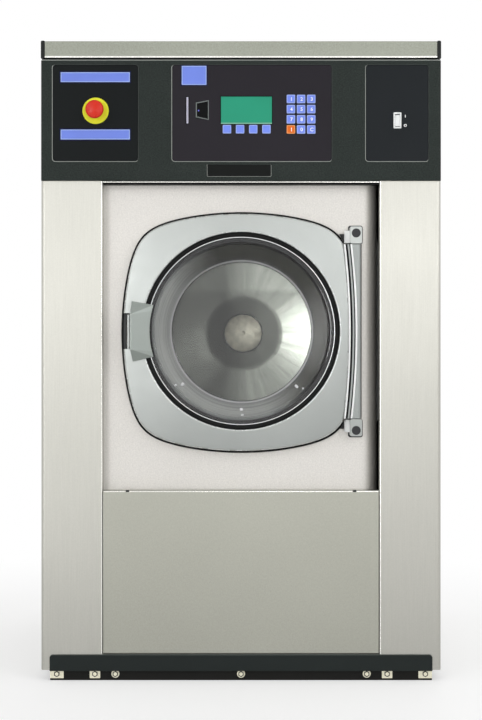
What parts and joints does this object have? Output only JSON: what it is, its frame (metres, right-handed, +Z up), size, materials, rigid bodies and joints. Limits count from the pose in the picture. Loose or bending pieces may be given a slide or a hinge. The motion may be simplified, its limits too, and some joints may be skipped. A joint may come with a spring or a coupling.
{
  "type": "washer-extractor",
  "caption": "Front-loading commercial washer-extractor: stainless casing, glazed round door, sprung drum unit with belt drive, and a dark control console.",
  "frame": {"origin": "middle of the base, on the floor", "axes": "+Z up, -Y the way the door faces, +X to the right as seen from the front"},
  "size_m": [0.88, 1.01, 1.41],
  "materials": {
    "stainless": "brushed, fine vertical grain",
    "stainless_lid": "brushed, matt",
    "inner_steel": "polished inside",
    "black_frame": "satin black",
    "plinth_black": "satin black",
    "zinc": "yellow zinc plating",
    "galvanised": "dull zinc",
    "console_plastic": "fine grain",
    "trim_plastic": "fine grain",
    "insert_film": "printed film, satin",
    "display_glass": "backlit display",
    "board": "solder resist",
    "reader_metal": "dull",
    "stop_yellow": "gloss",
    "stop_steel": "dark",
    "stop_red": "gloss",
    "switch_white": "gloss",
    "hinge_metal": "silver paint",
    "lock_black": "glass-filled",
    "bolt_steel": "plated",
    "boot_rubber": "matt",
    "seal_rubber": "matt",
    "damper_black": "satin",
    "spring_steel": "phosphate grey",
    "brass_fitting": "cast",
    "drain_plastic": "moulded",
    "box_paint": "grey powder",
    "tub_steel": "matt",
    "cradle_paint": "black powder",
    "housing_iron": "painted casting",
    "motor_paint": "blue grey",
    "belt_rubber": "ribbed",
    "shaft_steel": "turned",
    "pulley_aluminium": "cast",
    "door_silver": "fine silver texture",
    "bowl_glass": "clear",
    "clamp_aluminium": "cast",
    "handle_silver": "satin",
    "key_blue": "satin",
    "key_orange": "satin"
  },
  "bodies": {
    "cabinet": {"base_frame": "black_frame", "plinth_plate": "plinth_black", "base_bolts": "zinc", "left_side_panel": "stainless", "right_side_panel": "stainless", "rear_panel": "galvanised", "lid": "stainless_lid", "lid_end_trims": "trim_plastic", "door_panel": "stainless", "lower_cover": "stainless", "console_housing": "console_plastic", "console_inserts": "insert_film", "display_module": "display_glass", "control_board": "board", "card_reader": "reader_metal", "estop_collar": "stop_yellow", "switch_bezel": "switch_white", "hinge_blocks": "hinge_metal", "door_lock": "lock_black", "door_boot": "boot_rubber", "damper_cylinders": "damper_black", "suspension_springs": "spring_steel", "water_inlets": "brass_fitting", "drain_outlet": "drain_plastic", "electrical_box": "box_paint"},
    "tub": {"tub_shell": "tub_steel", "tub_cradle": "cradle_paint", "bearing_housing": "housing_iron", "motor": "motor_paint", "drive_belt": "belt_rubber"},
    "drum": {"drum_shell": "inner_steel", "drum_lifters": "inner_steel", "drum_shaft": "shaft_steel", "drum_pulley": "pulley_aluminium"},
    "motor_rotor": {"motor_pulley": "shaft_steel"},
    "door": {"door_frame": "door_silver", "door_glass": "bowl_glass", "door_seals": "seal_rubber", "glass_clamp_ring": "clamp_aluminium"},
    "handle": {"door_handle": "handle_silver"},
    "lock_bolt": {"lock_bolt": "bolt_steel"},
    "stop_stem": {"estop_stem": "stop_steel"},
    "stop_head": {"estop_head": "stop_red"},
    "rocker": {"switch_rocker": "switch_white"},
    "key_1": {"key_1": "key_blue"},
    "key_2": {"key_2": "key_blue"},
    "key_3": {"key_3": "key_blue"},
    "key_4": {"key_4": "key_blue"},
    "key_5": {"key_5": "key_blue"},
    "key_6": {"key_6": "key_blue"},
    "key_7": {"key_7": "key_blue"},
    "key_8": {"key_8": "key_blue"},
    "key_9": {"key_9": "key_blue"},
    "key_start": {"key_start": "key_orange"},
    "key_0": {"key_0": "key_blue"},
    "key_clear": {"key_clear": "key_blue"},
    "soft_key_1": {"soft_key_1": "key_blue"},
    "soft_key_2": {"soft_key_2": "key_blue"},
    "soft_key_3": {"soft_key_3": "key_blue"},
    "soft_key_4": {"soft_key_4": "key_blue"}
  },
  "joints": [
    {"name": "tub_bounce", "type": "slide", "parent": "cabinet", "child": "tub", "axis": [0, 0, 1], "range_m": [-0.012, 0.012], "stiffness_N_per_m": 90000, "springref_m": 0.03161, "deforming": ["suspension_springs", "door_boot"]},
    {"name": "drum_spin", "type": "hinge", "parent": "tub", "child": "drum", "pos_m": [0, 0, 0.77], "axis": [0, 1, 0], "continuous": true},
    {"name": "motor_spin", "type": "hinge", "parent": "tub", "child": "motor_rotor", "pos_m": [0, 0.3, 0.21], "axis": [0, 1, 0], "continuous": true},
    {"name": "door_hinge", "type": "hinge", "parent": "cabinet", "child": "door", "pos_m": [0.252, -0.452, 0.77], "axis": [0, 0, 1], "range_deg": [0, 130]},
    {"name": "handle_pivot", "type": "hinge", "parent": "door", "child": "handle", "pos_m": [-0.208, -0.4752, 0.77], "axis": [0, 0, 1], "range_deg": [0, 14], "stiffness_Nm_per_rad": 1.2},
    {"name": "lock_slide", "type": "slide", "parent": "cabinet", "child": "lock_bolt", "axis": [0, 0, 1], "range_m": [0, 0.027], "stiffness_N_per_m": 40},
    {"name": "stop_push", "type": "slide", "parent": "cabinet", "child": "stop_stem", "axis": [0, 1, 0], "range_m": [0, 0.005], "stiffness_N_per_m": 600},
    {"name": "stop_twist", "type": "hinge", "parent": "stop_stem", "child": "stop_head", "pos_m": [-0.3194, -0.47, 1.2535], "axis": [0, 1, 0], "range_deg": [0, 45], "stiffness_Nm_per_rad": 0.05},
    {"name": "rocker_tilt", "type": "hinge", "parent": "cabinet", "child": "rocker", "pos_m": [0.3437, -0.462, 1.2323], "axis": [1, 0, 0], "range_deg": [0, 14]},
    {"name": "key_1_press", "type": "slide", "parent": "cabinet", "child": "key_1", "axis": [0, 1, 0], "range_m": [0, 0.001], "stiffness_N_per_m": 400},
    {"name": "key_2_press", "type": "slide", "parent": "cabinet", "child": "key_2", "axis": [0, 1, 0], "range_m": [0, 0.001], "stiffness_N_per_m": 400},
    {"name": "key_3_press", "type": "slide", "parent": "cabinet", "child": "key_3", "axis": [0, 1, 0], "range_m": [0, 0.001], "stiffness_N_per_m": 400},
    {"name": "key_4_press", "type": "slide", "parent": "cabinet", "child": "key_4", "axis": [0, 1, 0], "range_m": [0, 0.001], "stiffness_N_per_m": 400},
    {"name": "key_5_press", "type": "slide", "parent": "cabinet", "child": "key_5", "axis": [0, 1, 0], "range_m": [0, 0.001], "stiffness_N_per_m": 400},
    {"name": "key_6_press", "type": "slide", "parent": "cabinet", "child": "key_6", "axis": [0, 1, 0], "range_m": [0, 0.001], "stiffness_N_per_m": 400},
    {"name": "key_7_press", "type": "slide", "parent": "cabinet", "child": "key_7", "axis": [0, 1, 0], "range_m": [0, 0.001], "stiffness_N_per_m": 400},
    {"name": "key_8_press", "type": "slide", "parent": "cabinet", "child": "key_8", "axis": [0, 1, 0], "range_m": [0, 0.001], "stiffness_N_per_m": 400},
    {"name": "key_9_press", "type": "slide", "parent": "cabinet", "child": "key_9", "axis": [0, 1, 0], "range_m": [0, 0.001], "stiffness_N_per_m": 400},
    {"name": "key_start_press", "type": "slide", "parent": "cabinet", "child": "key_start", "axis": [0, 1, 0], "range_m": [0, 0.001], "stiffness_N_per_m": 400},
    {"name": "key_0_press", "type": "slide", "parent": "cabinet", "child": "key_0", "axis": [0, 1, 0], "range_m": [0, 0.001], "stiffness_N_per_m": 400},
    {"name": "key_clear_press", "type": "slide", "parent": "cabinet", "child": "key_clear", "axis": [0, 1, 0], "range_m": [0, 0.001], "stiffness_N_per_m": 400},
    {"name": "soft_key_1_press", "type": "slide", "parent": "cabinet", "child": "soft_key_1", "axis": [0, 1, 0], "range_m": [0, 0.001], "stiffness_N_per_m": 400},
    {"name": "soft_key_2_press", "type": "slide", "parent": "cabinet", "child": "soft_key_2", "axis": [0, 1, 0], "range_m": [0, 0.001], "stiffness_N_per_m": 400},
    {"name": "soft_key_3_press", "type": "slide", "parent": "cabinet", "child": "soft_key_3", "axis": [0, 1, 0], "range_m": [0, 0.001], "stiffness_N_per_m": 400},
    {"name": "soft_key_4_press", "type": "slide", "parent": "cabinet", "child": "soft_key_4", "axis": [0, 1, 0], "range_m": [0, 0.001], "stiffness_N_per_m": 400}
  ],
  "couplings": [
    {"joint": "motor_spin", "follows": "drum_spin", "ratio": 5}
  ]
}
